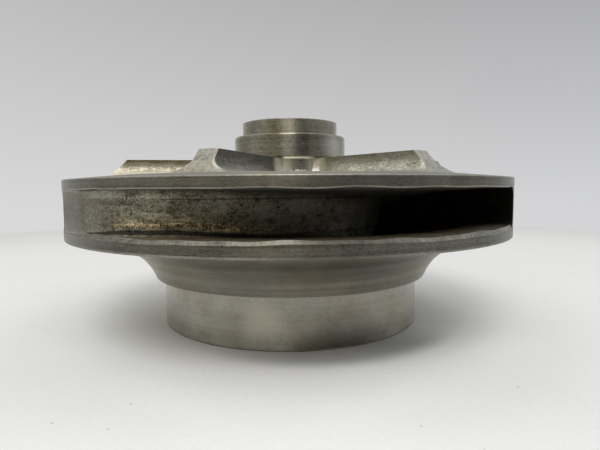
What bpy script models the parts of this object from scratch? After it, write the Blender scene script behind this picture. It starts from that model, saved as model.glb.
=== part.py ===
"""Closed pump impeller in stainless steel, standing on its eye ring with the hub upwards.

Metres, +Z up along the shaft. The origin is at the centre of the eye ring's bottom face. An azimuth is
counted in degrees from -Y towards +X, so it grows anticlockwise as seen from the hub.
The real impeller is one casting, machined on the lathe. Its forms are separate solids here, with a joint
of a few tenths of a millimetre between them.
"""

from math import cos, radians, sin, tan

import bmesh
import bpy
import numpy as np

# Outer sizes.
RIM_RADIUS = 0.127
HEIGHT = 0.1164
SEGMENTS = 72
FACE_COLUMNS = 5  # points across the thickness of a vane
JOINT = 0.0003  # left between solids that are one metal on the real impeller

# Eye ring: the plain cylinder round the suction eye.
EYE_RADIUS = 0.0665
EYE_RING_RADIUS = 0.0764
EYE_RING_TOP = 0.0273
EYE_RING_CHAMFER = 0.0006

# Front shroud: a flare from a sharp lower edge out to the rim.
FLARE_EDGE_RADIUS = 0.0815
FLARE_EDGE_ANGLE = 67.9  # slope of the flare where it leaves its lower edge, in degrees
FLARE_EDGE_REACH = 0.0219  # length of the curve's handle there
FLARE_RIM_ANGLE = 11.2
FLARE_RIM_REACH = 0.0216
FLARE_STEPS = 9
FRONT_RIM_BOTTOM = 0.0518
OUTLET_BOTTOM = 0.0583
THROAT_BEND = [(0.0665, 0.0300), (0.0665, 0.0480), (0.0800, 0.0568), (0.1080, 0.0574)]
THROAT_STEPS = 8

# Back shroud: a disc with a flat turned rim, and round the hub a bell that carries it. One casting too, but
# two solids, because each of them is simpler than the whole.
OUTLET_TOP = 0.0770
BACK_RIM_TOP = 0.0820
BACK_LAND_RADIUS = 0.1080  # outside it the top slopes down to the rim
BACK_LAND_TOP = 0.0838
BELL_BEND = [(0.1270, 0.0770), (0.0950, 0.0765), (0.0500, 0.0740), (0.0308, 0.0500)]
BELL_STEPS = 9
BELL_RADIUS = 0.0620  # where the bell ends and the disc begins

# Hub: neck, collar and spigot round a keyed bore.
BORE_RADIUS = 0.0175
NECK_RADIUS = 0.0305
COLLAR_RADIUS = 0.0338
COLLAR_BOTTOM = 0.0947
COLLAR_TOP = 0.1078
SPIGOT_RADIUS = 0.0289
NOSE_BOTTOM = 0.0460
NOSE_CHAMFER = 0.0020
HUB_CHAMFER = 0.0005
NECK_FILLET = 0.0040
NECK_FILLET_STEPS = 3
KEYWAY_WIDTH = 0.0100
KEYWAY_DEPTH = 0.0033

# Pump-out vanes: radial ribs on the back shroud, their outer ends turned to a hollow ramp.
PUMP_OUT_COUNT = 6
PUMP_OUT_AZIMUTH = -20.0
PUMP_OUT_TOP = 0.0943
PUMP_OUT_WIDTH = 0.0093
PUMP_OUT_FILLET_REACH = 0.0127
PUMP_OUT_FILLET_RISE = 0.0069
PUMP_OUT_END = 0.0963  # radius where the flat top stops
RAMP_LENGTH = 0.0109
RAMP_HOLLOW = 1.1
PUMP_OUT_LEVELS = [0.0, 0.06, 0.2, 0.42, 0.7, 1.0]  # shares of the height
PUMP_OUT_STATIONS = [0.0, 0.06, 0.15, 0.4, 0.65, 0.82, 0.92, 1.0]  # shares of the length
FILLET_KEPT = 0.95  # share of a fillet's rise that is made, so that no foot ends in a feather edge

# Main vanes: three thick blades that lean backwards along a logarithmic spiral.
MAIN_COUNT = 3
MAIN_TIP_AZIMUTH = -42.3  # outer corner of the outer face
MAIN_VANE_ANGLE = 23.5  # between the blade and the circle it crosses, in degrees
TIP_SETBACK = 0.0004
TIP_THICKNESS = 0.0155
NOSE_THICKNESS = 0.0080
NOSE_RADIUS_FRONT = 0.0735  # where the leading edge meets the front shroud
NOSE_RADIUS_BACK = 0.0520
BODY_RADIUS = 0.0810  # outside it the sections stand straight, inside it they slant with the leading edge
NOSE_SHARE = 0.4  # share of the sections that lie inside it
MAIN_FILLET = 0.0045
MAIN_FILLET_LEVELS = [0.0, 0.0005, 0.0016, 0.0040]  # heights above the shroud
MAIN_STATIONS = 24
MAIN_TURNS = (-0.6, 1.9)  # stretch of the spiral that is worked out, in radians from the tip
MAIN_TURN_STEPS = 2000
MAIN_JOINT = 0.0005
THROAT_CLEAR = 0.0730  # inside this radius the blade crosses the eye above the bend

MACHINED_COLOUR = (0.46, 0.44, 0.40, 1.0)
CAST_COLOUR = (0.30, 0.28, 0.23, 1.0)


def clear_scene():
    for obj in list(bpy.data.objects):
        bpy.data.objects.remove(obj, do_unlink=True)


def make_collection(name):
    collection = bpy.data.collections.new(name)
    bpy.context.scene.collection.children.link(collection)
    return collection


def make_metal(name, colour, roughness):
    material = bpy.data.materials.new(name)
    material.use_nodes = True
    shader = material.node_tree.nodes["Principled BSDF"]
    shader.inputs["Base Color"].default_value = colour
    shader.inputs["Metallic"].default_value = 1.0
    shader.inputs["Roughness"].default_value = roughness
    return material


def bezier(controls, count):
    """count + 1 points along the cubic curve with these four control points."""
    a, b, c, d = np.array(controls, float)
    t = np.linspace(0.0, 1.0, count + 1)[:, None]
    return (1 - t) ** 3 * a + 3 * (1 - t) ** 2 * t * b + 3 * (1 - t) * t**2 * c + t**3 * d


def polar(radius, azimuth, z):
    """Points at these radii, azimuths in radians and heights, along a new last axis."""
    return np.stack(np.broadcast_arrays(radius * np.sin(azimuth), -radius * np.cos(azimuth), z), axis=-1)


def flare_outline():
    """The front shroud's outside, from the sharp lower edge out to the rim."""
    start = np.array([FLARE_EDGE_RADIUS, EYE_RING_TOP])
    end = np.array([RIM_RADIUS, FRONT_RIM_BOTTOM])
    steep, flat = radians(FLARE_EDGE_ANGLE), radians(FLARE_RIM_ANGLE)
    leaving = start + FLARE_EDGE_REACH * np.array([cos(steep), sin(steep)])
    arriving = end - FLARE_RIM_REACH * np.array([cos(flat), sin(flat)])
    return bezier([start, leaving, arriving, end], FLARE_STEPS)


def throat_outline():
    """The front shroud's inside, from the eye up and out to the lip."""
    return np.vstack([bezier(THROAT_BEND, THROAT_STEPS), [(RIM_RADIUS, OUTLET_BOTTOM)]])


def neck_fillet_outline():
    """The hollow round the neck, from the neck out to the top of the bell."""
    t = np.radians(np.linspace(0.0, 90.0, NECK_FILLET_STEPS + 1))
    centre = np.array([NECK_RADIUS + JOINT + NECK_FILLET, BACK_LAND_TOP + NECK_FILLET])
    return centre - NECK_FILLET * np.stack([np.cos(t), np.sin(t)], axis=-1)


def back_top_outline():
    """The back shroud's top, from the neck out to the rim."""
    land = [(BACK_LAND_RADIUS, BACK_LAND_TOP), (RIM_RADIUS, BACK_RIM_TOP)]
    return np.vstack([neck_fillet_outline(), land])


def bell_outline():
    """The back shroud's underside, from the rim in to the nose of the hub."""
    return bezier(BELL_BEND, BELL_STEPS)


def height_on(outline, radius):
    """Height of an outline at these radii. Its radii rise from one end to the other, or fall."""
    ordered = outline[np.argsort(outline[:, 0], kind="stable")]
    return np.interp(radius, ordered[:, 0], ordered[:, 1])


def finish(obj, parts, material):
    parts.objects.link(obj)
    obj.data.materials.append(material)
    return obj


def turned(name, profile, parts, material):
    """A closed loop of (radius, height) points turned round +Z, listed down the outside and up the inside."""
    mesh = bpy.data.meshes.new(name)
    count = len(profile)
    loop = [(i, (i + 1) % count) for i in range(count)]
    mesh.from_pydata([(r, 0.0, z) for r, z in profile], loop, [])
    obj = finish(bpy.data.objects.new(name, mesh), parts, material)
    screw = obj.modifiers.new("Turn", "SCREW")
    screw.axis = "Z"
    screw.steps = screw.render_steps = SEGMENTS
    screw.use_merge_vertices = True
    screw.merge_threshold = 0.00005
    screw.use_smooth_shade = False
    return obj


def block(name, points, parts, material):
    """A closed body from a bent grid of points (levels, stations, columns): its six outer sides as quads."""
    levels, stations, columns, _ = points.shape
    index = np.arange(levels * stations * columns).reshape(levels, stations, columns)
    sides = [index[0], index[-1], index[:, 0], index[:, -1], index[:, :, 0], index[:, :, -1]]
    rings = [[s[:-1, :-1], s[1:, :-1], s[1:, 1:], s[:-1, 1:]] for s in sides]
    quads = [np.stack(ring, axis=-1).reshape(-1, 4) for ring in rings]
    body = bmesh.new()
    corners = [body.verts.new(p) for p in points.reshape(-1, 3)]
    for quad in np.concatenate(quads):
        body.faces.new([corners[i] for i in quad])
    inner = [v for v in body.verts if not v.link_faces]
    bmesh.ops.delete(body, geom=inner, context="VERTS")
    bmesh.ops.recalc_face_normals(body, faces=body.faces)
    mesh = bpy.data.meshes.new(name)
    body.to_mesh(mesh)
    body.free()
    return finish(bpy.data.objects.new(name, mesh), parts, material)


def fillet_spread(reach, rise, heights):
    """How far a foot spreads at these heights above the surface it stands on. Its fillet is a quarter of an
    ellipse, this far out and this high."""
    drop = np.clip(1 - heights / rise, 0.0, FILLET_KEPT)
    return reach * (1 - np.sqrt(1 - drop**2))


def make_eye_ring(parts, metal):
    top, c = EYE_RING_TOP - JOINT, EYE_RING_CHAMFER
    profile = [
        (EYE_RING_RADIUS, top),
        (EYE_RING_RADIUS, c),
        (EYE_RING_RADIUS - c, 0.0),
        (EYE_RADIUS + c, 0.0),
        (EYE_RADIUS, c),
        (EYE_RADIUS, top),
    ]
    return turned("eye_ring", profile, parts, metal)


def make_front_shroud(parts, metal):
    outside = flare_outline()[::-1]
    inside = throat_outline()
    profile = [(RIM_RADIUS, OUTLET_BOTTOM), *outside, (EYE_RADIUS, EYE_RING_TOP), *inside[:-1]]
    return turned("front_shroud", profile, parts, metal)


def make_back_shroud(parts, metal):
    under = bell_outline()
    inner = BELL_RADIUS + JOINT
    profile = [
        (inner, BACK_LAND_TOP),
        (BACK_LAND_RADIUS, BACK_LAND_TOP),
        (RIM_RADIUS, BACK_RIM_TOP),
        *under[under[:, 0] > inner],
        (inner, height_on(under, inner)),
    ]
    return turned("back_shroud", profile, parts, metal)


def make_hub_bell(parts, metal):
    under = bell_outline()
    profile = [
        *neck_fillet_outline(),
        (BELL_RADIUS, BACK_LAND_TOP),
        (BELL_RADIUS, height_on(under, BELL_RADIUS)),
        *under[under[:, 0] < BELL_RADIUS],
    ]
    return turned("hub_bell", profile, parts, metal)


def make_hub(parts, cutters, metal):
    c = HUB_CHAMFER
    profile = [
        (SPIGOT_RADIUS - c, HEIGHT),
        (SPIGOT_RADIUS, HEIGHT - c),
        (SPIGOT_RADIUS, COLLAR_TOP),
        (COLLAR_RADIUS - c, COLLAR_TOP),
        (COLLAR_RADIUS, COLLAR_TOP - c),
        (COLLAR_RADIUS, COLLAR_BOTTOM),
        (NECK_RADIUS, COLLAR_BOTTOM),
        (NECK_RADIUS, NOSE_BOTTOM + NOSE_CHAMFER),
        (NECK_RADIUS - NOSE_CHAMFER, NOSE_BOTTOM),
        (BORE_RADIUS + c, NOSE_BOTTOM),
        (BORE_RADIUS, NOSE_BOTTOM + c),
        (BORE_RADIUS, HEIGHT - c),
        (BORE_RADIUS + c, HEIGHT),
    ]
    hub = turned("hub", profile, parts, metal)
    bpy.ops.mesh.primitive_cube_add(size=1.0)
    key = bpy.context.object
    key.name = "keyway_cutter"
    reach = BORE_RADIUS + KEYWAY_DEPTH
    key.scale = (KEYWAY_WIDTH, reach, 2 * HEIGHT)
    key.location = (0.0, reach / 2, HEIGHT / 2)
    for collection in list(key.users_collection):
        collection.objects.unlink(key)
    cutters.objects.link(key)
    key.hide_render = True
    key.display_type = "WIRE"
    cut = hub.modifiers.new("Keyway", "BOOLEAN")
    cut.operation = "DIFFERENCE"
    cut.solver = "EXACT"
    cut.object = key
    return hub


def pump_out_points(azimuth):
    """Grid of one pump-out vane: the side faces spread into a rounded foot, and the outer end follows a
    hollow ramp, so the length shrinks from the foot up to the flat top."""
    height = PUMP_OUT_TOP - BACK_LAND_TOP
    level = np.array(PUMP_OUT_LEVELS)[:, None, None]
    station = np.array(PUMP_OUT_STATIONS)[None, :, None]
    column = np.linspace(-1.0, 1.0, FACE_COLUMNS)[None, None, :]
    spread = fillet_spread(PUMP_OUT_FILLET_REACH, PUMP_OUT_FILLET_RISE, level * height)
    half_width = PUMP_OUT_WIDTH / 2 + spread
    across = column * half_width
    inner = np.sqrt((NECK_RADIUS + JOINT) ** 2 - across**2)
    end_radius = PUMP_OUT_END + RAMP_LENGTH * (1 - level) ** RAMP_HOLLOW
    outer = np.sqrt(end_radius**2 - across**2)
    along = inner + (outer - inner) * station
    radius = np.hypot(along, across)
    foot = height_on(back_top_outline(), radius) + JOINT
    z = foot + (PUMP_OUT_TOP - foot) * level
    return polar(radius, radians(azimuth) + np.arctan2(across, along), z)


def main_vane_points(azimuth):
    """Grid of one main vane. Its convex side is the spiral r = R exp(-tan(angle) * turn), with turn in
    radians counted inwards from the tip. The other columns are offset from it, square to the spiral, by a
    share of the thickness, and each is followed out until it meets the circle of the tip."""
    slope = tan(radians(MAIN_VANE_ANGLE))
    fall = np.array(MAIN_FILLET_LEVELS)
    spread = fillet_spread(MAIN_FILLET, MAIN_FILLET, fall)
    levels = [(0.0, h, f) for h, f in zip(fall, spread)]
    levels += [(1.0, -h, f) for h, f in zip(fall[::-1], spread[::-1])]
    shares = np.linspace(0.0, 1.0, FACE_COLUMNS)
    turn = np.linspace(*MAIN_TURNS, MAIN_TURN_STEPS)
    spiral = RIM_RADIUS * np.exp(-slope * turn)
    nose_turn = np.log(RIM_RADIUS / NOSE_RADIUS_BACK) / slope
    body_turn = np.log(RIM_RADIUS / BODY_RADIUS) / slope
    thickness = np.interp(turn, [0.0, nose_turn], [TIP_THICKNESS, NOSE_THICKNESS])
    stations = np.linspace(0.0, 1.0, MAIN_STATIONS)
    lean = radians(MAIN_VANE_ANGLE)
    grid = []
    for share_up, step, foot in levels:
        nose_radius = NOSE_RADIUS_FRONT + (NOSE_RADIUS_BACK - NOSE_RADIUS_FRONT) * share_up
        start = np.log(RIM_RADIUS / nose_radius) / slope
        rows = []
        for share in shares:
            offset = foot - share * (thickness + 2 * foot)
            # A step square to the spiral goes outwards by its cosine and round by its sine.
            radial = spiral + offset * cos(lean)
            around = turn + offset * sin(lean) / spiral
            end = np.interp(-(RIM_RADIUS - TIP_SETBACK), -radial, turn)
            # The leading edge is half round, and half of the thickness is its radius.
            rounding = NOSE_THICKNESS / 2 * (1 - np.sqrt(1 - (2 * share - 1) ** 2))
            first = start + foot / nose_radius - rounding / nose_radius
            at = np.interp(stations, [0.0, NOSE_SHARE, 1.0], [first, body_turn, end])
            r = np.interp(at, turn, radial)
            a = radians(azimuth) + np.interp(at, turn, around)
            low = height_on(throat_outline(), np.maximum(r, THROAT_CLEAR)) + MAIN_JOINT
            high = height_on(bell_outline(), r) - MAIN_JOINT
            rows.append(polar(r, a, low + (high - low) * share_up + step))
        grid.append(np.stack(rows, axis=1))
    return np.stack(grid)


def main():
    clear_scene()
    parts = make_collection("impeller")
    cutters = make_collection("impeller cutters")
    machined = make_metal("machined steel", MACHINED_COLOUR, 0.35)
    cast = make_metal("cast steel", CAST_COLOUR, 0.6)
    make_eye_ring(parts, machined)
    make_front_shroud(parts, machined)
    make_back_shroud(parts, machined)
    make_hub_bell(parts, machined)
    make_hub(parts, cutters, machined)
    for i in range(PUMP_OUT_COUNT):
        azimuth = PUMP_OUT_AZIMUTH + 360.0 * i / PUMP_OUT_COUNT
        block(f"pump_out_vane_{i + 1}", pump_out_points(azimuth), parts, cast)
    for i in range(MAIN_COUNT):
        azimuth = MAIN_TIP_AZIMUTH + 360.0 * i / MAIN_COUNT
        block(f"main_vane_{i + 1}", main_vane_points(azimuth), parts, cast)


main()
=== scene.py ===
# %% [markdown]
# A closed pump impeller, seen as it stands on its eye ring
#
# The real object is one stainless steel casting that a lathe has finished where it has to run true. So it
# has two skins: bright turned faces with fine lines round the shaft, and the rough cast skin between the
# shrouds and on the sides of the ribs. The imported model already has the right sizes, but it is faceted and
# plain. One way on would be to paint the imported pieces. Here each of them is made again as a fine surface
# over the same sizes instead, because rounded edges, a lip ground by hand and a lumpy casting are shapes.

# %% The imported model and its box
from itertools import product
from math import cos, pi, radians, sin, tan

import bpy
import numpy as np
from mathutils import Matrix, Vector


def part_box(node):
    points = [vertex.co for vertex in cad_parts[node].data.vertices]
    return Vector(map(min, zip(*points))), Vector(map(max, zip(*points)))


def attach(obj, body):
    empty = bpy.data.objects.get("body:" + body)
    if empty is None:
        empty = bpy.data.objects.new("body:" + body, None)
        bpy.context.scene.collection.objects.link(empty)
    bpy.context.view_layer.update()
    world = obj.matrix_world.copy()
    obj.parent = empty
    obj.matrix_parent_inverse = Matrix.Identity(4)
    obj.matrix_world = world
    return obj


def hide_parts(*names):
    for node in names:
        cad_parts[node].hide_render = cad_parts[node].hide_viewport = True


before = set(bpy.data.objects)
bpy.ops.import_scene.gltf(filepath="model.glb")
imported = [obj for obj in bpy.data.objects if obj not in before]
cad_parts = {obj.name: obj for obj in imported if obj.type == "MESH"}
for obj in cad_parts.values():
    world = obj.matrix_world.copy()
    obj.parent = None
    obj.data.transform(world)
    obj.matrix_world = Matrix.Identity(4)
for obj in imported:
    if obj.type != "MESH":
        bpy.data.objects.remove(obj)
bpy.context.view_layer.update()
print("packed pieces:", len(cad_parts))

# %% [markdown]
# The sizes
#
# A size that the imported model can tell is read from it, so that the two can't drift apart. The others are
# the sizes that the solids were made from. All are in metres and degrees, +Z points up the shaft, and an
# azimuth is counted from -Y towards +X.

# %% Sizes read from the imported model
def turned_size(node):
    """Outer radius, lowest height and highest height of a turned node."""
    low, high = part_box(node)
    return (high.x - low.x) / 2, low.z, high.z


EYE_RING_RADIUS, FLOOR_HEIGHT, _ = turned_size("eye_ring")
RIM_RADIUS, FLARE_EDGE_HEIGHT, OUTLET_BOTTOM = turned_size("front_shroud")
COLLAR_RADIUS, NOSE_BOTTOM, HUB_TOP = turned_size("hub")
RIB_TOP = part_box("pump_out_vane_1")[1].z
print("rim radius", round(RIM_RADIUS, 4), "height", round(HUB_TOP, 4))

# %% Sizes shared with the solids
MM = 0.001
EYE_RADIUS = 66.5 * MM
FLARE_EDGE_RADIUS = 81.5 * MM
FLARE_EDGE_ANGLE, FLARE_EDGE_REACH = 67.9, 21.9 * MM
FLARE_RIM_ANGLE, FLARE_RIM_REACH = 11.2, 21.6 * MM
FRONT_RIM_BOTTOM = 51.8 * MM
THROAT_BEND = np.array([(66.5, 30.0), (66.5, 48.0), (80.0, 56.8), (108.0, 57.4)]) * MM
OUTLET_TOP = 77.0 * MM
BACK_RIM_TOP = 82.0 * MM
BACK_LAND_RADIUS = 108.0 * MM
BACK_LAND_TOP = 83.8 * MM
BELL_BEND = np.array([(127.0, 77.0), (95.0, 76.5), (50.0, 74.0), (30.8, 50.0)]) * MM
BORE_RADIUS = 17.5 * MM
NECK_RADIUS = 30.5 * MM
NECK_FILLET = 4.0 * MM
COLLAR_BOTTOM, COLLAR_TOP = 94.7 * MM, 107.8 * MM
SPIGOT_RADIUS = 28.9 * MM
NOSE_CHAMFER = 2.0 * MM
KEYWAY_WIDTH, KEYWAY_DEPTH = 10.0 * MM, 3.3 * MM
RIB_COUNT, RIB_AZIMUTH = 6, -20.0
RIB_WIDTH, RIB_FILLET_REACH, RIB_FILLET_RISE = 9.3 * MM, 12.7 * MM, 6.9 * MM
RIB_END, RAMP_LENGTH, RAMP_HOLLOW = 96.3 * MM, 10.9 * MM, 1.1
VANE_COUNT, VANE_TIP_AZIMUTH, VANE_ANGLE = 3, -42.3, 23.5
VANE_TIP_THICKNESS, VANE_NOSE_THICKNESS = 15.5 * MM, 8.0 * MM
VANE_NOSE_FRONT, VANE_NOSE_BACK = 73.5 * MM, 52.0 * MM
VANE_BODY_RADIUS, VANE_NOSE_SHARE = 81.0 * MM, 0.4
VANE_FILLET = 4.5 * MM
THROAT_CLEAR = 73.0 * MM
BURIED = 0.4 * MM  # how far a foot is sunk into its shroud, so that no joint shows in the one casting

# %% [markdown]
# The camera
#
# The photograph was taken from close by, just above the rim, looking slightly down. The place and the lens
# were worked out from the ellipses of the two rims, the eye ring and the hub. A camera set by eye would give
# the right side or the right front, but not both at this distance.

# %% Camera
CAMERA_PLACE = (5.9 * MM, -285.3 * MM, 76.9 * MM)
CAMERA_DOWN = 4.56
CAMERA_ROLL = -0.38
CAMERA_LENS = 27.23

eye = bpy.data.cameras.new("photo_camera")
eye.lens = CAMERA_LENS
eye.clip_start = 0.01
camera = bpy.data.objects.new("photo_camera", eye)
bpy.context.scene.collection.objects.link(camera)
look = Matrix.Rotation(radians(90 - CAMERA_DOWN), 4, "X") @ Matrix.Rotation(radians(CAMERA_ROLL), 4, "Z")
camera.matrix_world = Matrix.Translation(CAMERA_PLACE) @ look
bpy.context.scene.camera = camera
print("camera height", round(camera.matrix_world.translation.z, 4))

# %% [markdown]
# Shader maths that reads like maths
#
# A pattern made of ten Math nodes can't be read afterwards. So the class below wraps a socket, and an
# operator on it adds the Math node. The second class holds a tree of nodes and has one method that adds any
# other node, by its type, its settings and what goes into its sockets.

# %% A socket that does maths
def math_node(operation, swapped=False):
    """The method behind an operator: it adds this Math node, for 1 - mask with its two inputs swapped."""
    def method(value, other):
        inputs = (other, value) if swapped else (value, other)
        return value.nodes.math(operation, *inputs)
    return method


class Value:
    """One output socket. An operator on it adds a Math node and gives that node's output."""

    def __init__(self, nodes, socket):
        self.nodes = nodes
        self.socket = socket

    __add__ = __radd__ = math_node("ADD")
    __mul__ = __rmul__ = math_node("MULTIPLY")
    __sub__, __rsub__ = math_node("SUBTRACT"), math_node("SUBTRACT", swapped=True)
    __truediv__, __pow__ = math_node("DIVIDE"), math_node("POWER")


# %% A tree of nodes with short words
class Nodes:
    """A node tree. node() adds any node, and the other methods are the few that come up again and again."""

    def __init__(self, tree):
        self.tree = tree

    def node(self, kind, settings=None, inputs=None, out=0):
        """Adds a node. Settings are set first, a ramp's stops among them, then values or links go in."""
        made = self.tree.nodes.new("ShaderNode" + kind)
        for key, value in (settings or {}).items():
            if key == "stops":
                self.set_stops(made.color_ramp.elements, value)
            else:
                setattr(made, key, value)
        for key, value in (inputs or {}).items():
            self.feed(made.inputs[key], value)
        return Value(self, made.outputs[out])

    def set_stops(self, elements, stops):
        """Gives a ramp, which comes with two stops, all of these: (place from 0 to 1, colour)."""
        for place, _ in stops[1:-1]:
            elements.new(place)
        for element, (place, colour) in zip(elements, stops):
            element.position, element.color = place, (*colour, 1.0)

    def feed(self, socket, value):
        """Links a Value to this socket, or sets its number, its vector or its colour of three numbers."""
        if isinstance(value, Value):
            self.tree.links.new(value.socket, socket)
        else:
            socket.default_value = (*value, 1.0) if socket.type == "RGBA" else value

    def math(self, operation, *values):
        return self.node("Math", {"operation": operation}, dict(enumerate(values)))

    def split(self, vector):
        """The three numbers of a vector."""
        parts = self.node("SeparateXYZ", inputs={0: vector}).socket.node
        return [Value(self, s) for s in parts.outputs]

    def join(self, x, y, z):
        return self.node("CombineXYZ", inputs={0: x, 1: y, 2: z})

    def step(self, value, low, high, to_low=0.0, to_high=1.0):
        """Smooth step from to_low at low up to to_high at high."""
        inputs = {"Value": value, "From Min": low, "From Max": high, "To Min": to_low, "To Max": to_high}
        return self.node("MapRange", {"interpolation_type": "SMOOTHSTEP"}, inputs)

    def noise(self, vector, scale=1.0, detail=2.0, roughness=0.5):
        inputs = {"Vector": vector, "Scale": scale, "Detail": detail, "Roughness": roughness}
        return self.node("TexNoise", inputs=inputs)

    def swing(self, vector, scale=1.0, detail=2.0, roughness=0.65):
        """Noise stretched until most of it lies between -1 and 1."""
        return 3.5 * (self.noise(vector, scale, detail, roughness) - 0.5)

    def mix(self, share, first, second):
        """Colour that goes from first to second."""
        inputs = {0: share, 6: first, 7: second}
        return self.node("Mix", {"data_type": "RGBA"}, inputs, out=2)


# %% A material to start from
def start_material(name):
    """A new material: itself, its nodes, its shader and the place on the piece, in metres."""
    material = bpy.data.materials.new(name)
    material.use_nodes = True
    nodes = Nodes(material.node_tree)
    return material, nodes, material.node_tree.nodes["Principled BSDF"], nodes.node("TexCoord", out="Object")


def from_shaft(x, y):
    """Distance from an upright line, as the shaft is: sqrt(x^2 + y^2)."""
    return (x * x + y * y) ** 0.5


# %% [markdown]
# Turned steel
#
# A lathe leaves fine lines round the shaft, a few to the millimetre. They blur reflections up and down but
# keep them sharp sideways, which is why turned steel shows upright bands of light. The shader's anisotropic
# setting does that blur. The lines could be drawn on a UV map, but one number that grows along any turned
# face, height plus radius, does the same: noise squeezed along it gives lines and streaks that run round.
# Duller and brighter patches are painted on such a face: painted reflections of darker and brighter parts
# of the room. Each is a soft spot round a place, on the ring, both rims, the ground lip and the hub.

# %% Turned finish
NO_TINT, BROWN_TINT = (1.0, 1.0, 1.0), (1.0, 0.89, 0.68)


def turned_steel(name, dark, light, roughness, pitch=0.35 * MM, depth=0.008 * MM, grain=0.5, bands=0.3,
                 smudge=0.5, specks=0.2, brown=0.3, anisotropic=0.7, painted_reflections=()):
    """Material for a lathe-turned face. pitch is the distance between lines and depth is their height. grain,
    bands, smudge, specks and brown say how strong each layer of the pattern is. A painted reflection is a
    darker or brighter patch painted where the face mirrors a dark or bright part of the room: its middle and
    how far it reaches, in millimetres, how strong it is and its colour."""
    material, nodes, shader, place = start_material(name)
    x, y, z = nodes.split(place)
    track = z + 1.3 * from_shaft(x, y)

    def streak(length, height, detail=2.0):
        """Noise in streaks this long round the shaft and this high across, about -1 to 1."""
        return nodes.swing(nodes.join(x / length, y / length, track / height), detail=detail)

    line = streak(70 * MM, pitch, 3.0)
    speckle = streak(1.6 * MM, 0.55 * MM, 3.0)
    band = streak(150 * MM, 8 * pitch)
    cloud = nodes.swing(place, scale=70.0, detail=5.0)
    warm = nodes.step(nodes.noise(place, scale=28.0, detail=3.0), 0.45, 0.65)
    fleck = nodes.step(nodes.noise(place, scale=1100.0, detail=1.0), 0.66, 0.76)
    tone = 0.5 + 0.18 * line + 0.3 * grain * speckle + 0.5 * bands * band + 0.4 * smudge * cloud
    tone = nodes.math("MINIMUM", nodes.math("MAXIMUM", tone - specks * fleck, 0.0), 1.2)
    tint = nodes.mix(brown * warm, NO_TINT, BROWN_TINT)
    metal = nodes.node("VectorMath", {"operation": "MULTIPLY"}, {0: nodes.mix(tone, dark, light), 1: tint})
    # Painted reflections: each patch paints a darker or brighter reflection of the room into the colour
    for middle, reach, strength, colour in painted_reflections:
        middle, reach = [v * MM for v in middle], reach * MM
        apart = nodes.node("VectorMath", {"operation": "DISTANCE"}, {0: place, 1: middle}, out=1)
        metal = nodes.mix(strength * nodes.step(apart + 1.5 * MM * cloud, reach, 0.2 * reach), metal, colour)
    bump = nodes.node("Bump", inputs={"Height": line + 0.4 * speckle, "Distance": depth})
    nodes.feed(shader.inputs["Base Color"], metal)
    nodes.feed(shader.inputs["Roughness"], roughness + 0.04 * cloud + 0.03 * speckle + 0.2 * specks * fleck)
    nodes.feed(shader.inputs["Normal"], bump)
    shader.inputs["Metallic"].default_value = 1.0
    shader.inputs["Anisotropic"].default_value = anisotropic
    shader.inputs["Anisotropic Rotation"].default_value = 0.25
    return material


# %% Painted reflections: duller and brighter patches where a face mirrors darker or brighter parts of the room
RING_PAINTED_REFLECTIONS = [((25, -72, -8), 34, 0.90, (0.135, 0.124, 0.098)),
              ((-12, -75, 14), 13, 0.35, (0.60, 0.565, 0.47)),
              ((-29, -70, 12), 12, 0.30, (0.24, 0.228, 0.195))]
BACK_RIM_PAINTED_REFLECTIONS = [((10, -127, 80), 80, 0.28, (0.055, 0.050, 0.038)),
                  ((85, -94, 80), 40, 0.25, (0.055, 0.052, 0.045))]
FRONT_RIM_PAINTED_REFLECTIONS = [((0, -127, 55), 75, 0.30, (0.040, 0.036, 0.027)),
                   ((-100, -78, 55), 60, 0.35, (0.30, 0.288, 0.25))]
LIP_PAINTED_REFLECTIONS = [((19, -125, 58), 40, 0.60, (0.070, 0.066, 0.055))]
SPIGOT_PAINTED_REFLECTIONS = [((-24, -16, 112), 15, 0.45, (0.17, 0.160, 0.133)),
                ((4, -29, 112), 7, 0.60, (0.70, 0.64, 0.48)),
                ((23, -18, 113), 14, 0.40, (0.15, 0.142, 0.118))]
COLLAR_PAINTED_REFLECTIONS = [((-28, -19, 101), 16, 0.40, (0.14, 0.130, 0.103)),
                ((25, -23, 100), 11, 0.60, (0.62, 0.59, 0.52))]

# %% Turned finishes
RIM_CUT = {"pitch": 0.42 * MM, "anisotropic": 0.8}
HUB_CUT = {"pitch": 0.4 * MM, "anisotropic": 0.88}
RING_FINISH = turned_steel("satin eye ring", (0.245, 0.233, 0.198), (0.50, 0.482, 0.425), 0.31,
    grain=0.8, smudge=0.9, anisotropic=0.9, painted_reflections=RING_PAINTED_REFLECTIONS)
FLARE_FINISH = turned_steel("turned flare", (0.160, 0.151, 0.126), (0.385, 0.368, 0.314), 0.36,
    pitch=0.5 * MM, bands=0.6, grain=0.6)
BACK_RIM_FINISH = turned_steel("worn back rim", (0.070, 0.066, 0.055), (0.272, 0.259, 0.225), 0.34,
    grain=0.9, specks=0.3, brown=0.5, bands=0.6, smudge=0.6, painted_reflections=BACK_RIM_PAINTED_REFLECTIONS, **RIM_CUT)
FRONT_RIM_FINISH = turned_steel("worn front rim", (0.040, 0.037, 0.030), (0.250, 0.239, 0.205), 0.34,
    grain=1.1, specks=0.4, brown=0.6, bands=0.6, smudge=0.6, painted_reflections=FRONT_RIM_PAINTED_REFLECTIONS, **RIM_CUT)
TIP_FINISH = turned_steel("turned vane tip", (0.085, 0.077, 0.058), (0.315, 0.292, 0.226), 0.36,
    grain=1.6, bands=0.5, smudge=1.1, specks=0.4, brown=0.6, **RIM_CUT)
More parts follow.
